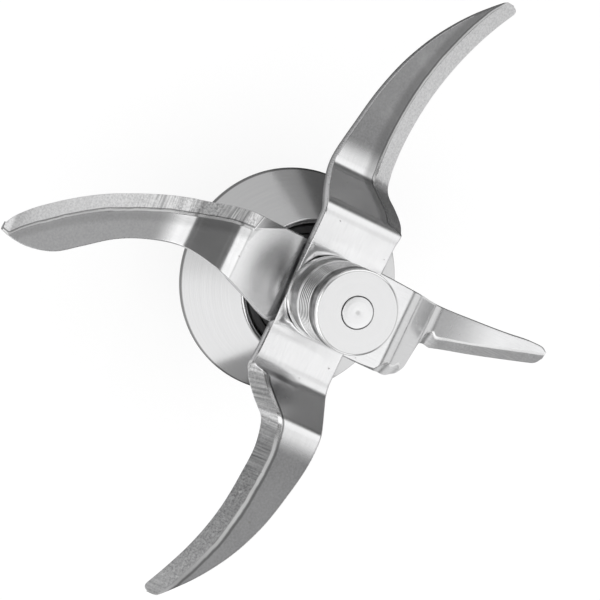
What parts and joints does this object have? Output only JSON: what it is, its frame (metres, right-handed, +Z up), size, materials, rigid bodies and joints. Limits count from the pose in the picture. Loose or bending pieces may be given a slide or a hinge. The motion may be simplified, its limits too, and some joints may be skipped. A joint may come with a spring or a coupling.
{
  "type": "food processor blade",
  "caption": "Cranked crossed stainless blades on a spindle that turns in a bearing housing with a conical steel cover.",
  "frame": {"origin": "centre of the drive coupling's end face, on the spindle's axis", "axes": "+Z up the spindle towards the nut, +X along the upper blade to its wing that is cranked down, +Y along the lower blade to its long wing"},
  "size_m": [0.1341, 0.1122, 0.0802],
  "materials": {
    "polished_steel": "polished stainless steel, with ground cutting bevels",
    "satin_steel": "satin stainless steel, turned or spun",
    "bearing_steel": "fine ground bearing steel",
    "sintered_steel": "matt sintered steel",
    "black_plastic": "moulded black glass-filled nylon, fine grain",
    "cage_nylon": "natural nylon",
    "black_rubber": "matt black rubber",
    "grey_rubber": "matt grey silicone rubber"
  },
  "bodies": {
    "housing": {"bearing_housing": "black_plastic", "bell_cover": "satin_steel", "bowl_seal": "grey_rubber", "spindle_seal": "black_rubber", "garter_spring": "bearing_steel", "bottom_cover": "black_plastic", "housing_retaining_ring": "bearing_steel", "outer_spacer_sleeve": "bearing_steel", "upper_bearing_outer_ring": "bearing_steel", "upper_bearing_shield": "bearing_steel", "lower_bearing_outer_ring": "bearing_steel", "lower_bearing_shield": "bearing_steel"},
    "rotor": {"spindle": "polished_steel", "drive_coupling": "sintered_steel", "coupling_pin": "bearing_steel", "blade_collar": "satin_steel", "lower_blade": "polished_steel", "upper_blade": "polished_steel", "cap_nut": "polished_steel", "inner_spacer_sleeve": "bearing_steel", "spindle_retaining_ring": "bearing_steel", "upper_bearing_inner_ring": "bearing_steel", "lower_bearing_inner_ring": "bearing_steel"},
    "upper_cage": {"upper_bearing_cage": "cage_nylon", "upper_ball_1": "bearing_steel", "upper_ball_2": "bearing_steel", "upper_ball_3": "bearing_steel", "upper_ball_4": "bearing_steel", "upper_ball_5": "bearing_steel", "upper_ball_6": "bearing_steel", "upper_ball_7": "bearing_steel"},
    "lower_cage": {"lower_bearing_cage": "cage_nylon", "lower_ball_1": "bearing_steel", "lower_ball_2": "bearing_steel", "lower_ball_3": "bearing_steel", "lower_ball_4": "bearing_steel", "lower_ball_5": "bearing_steel", "lower_ball_6": "bearing_steel", "lower_ball_7": "bearing_steel"}
  },
  "joints": [
    {"name": "blade_spin", "type": "hinge", "parent": "housing", "child": "rotor", "pos_m": [0, 0, 0.0409], "axis": [0, 0, 1], "continuous": true},
    {"name": "upper_cage_spin", "type": "hinge", "parent": "housing", "child": "upper_cage", "pos_m": [0, 0, 0.0409], "axis": [0, 0, 1], "continuous": true},
    {"name": "lower_cage_spin", "type": "hinge", "parent": "housing", "child": "lower_cage", "pos_m": [0, 0, 0.0209], "axis": [0, 0, 1], "continuous": true}
  ],
  "couplings": [
    {"joint": "upper_cage_spin", "follows": "blade_spin", "ratio": 0.3725},
    {"joint": "lower_cage_spin", "follows": "blade_spin", "ratio": 0.3725}
  ]
}
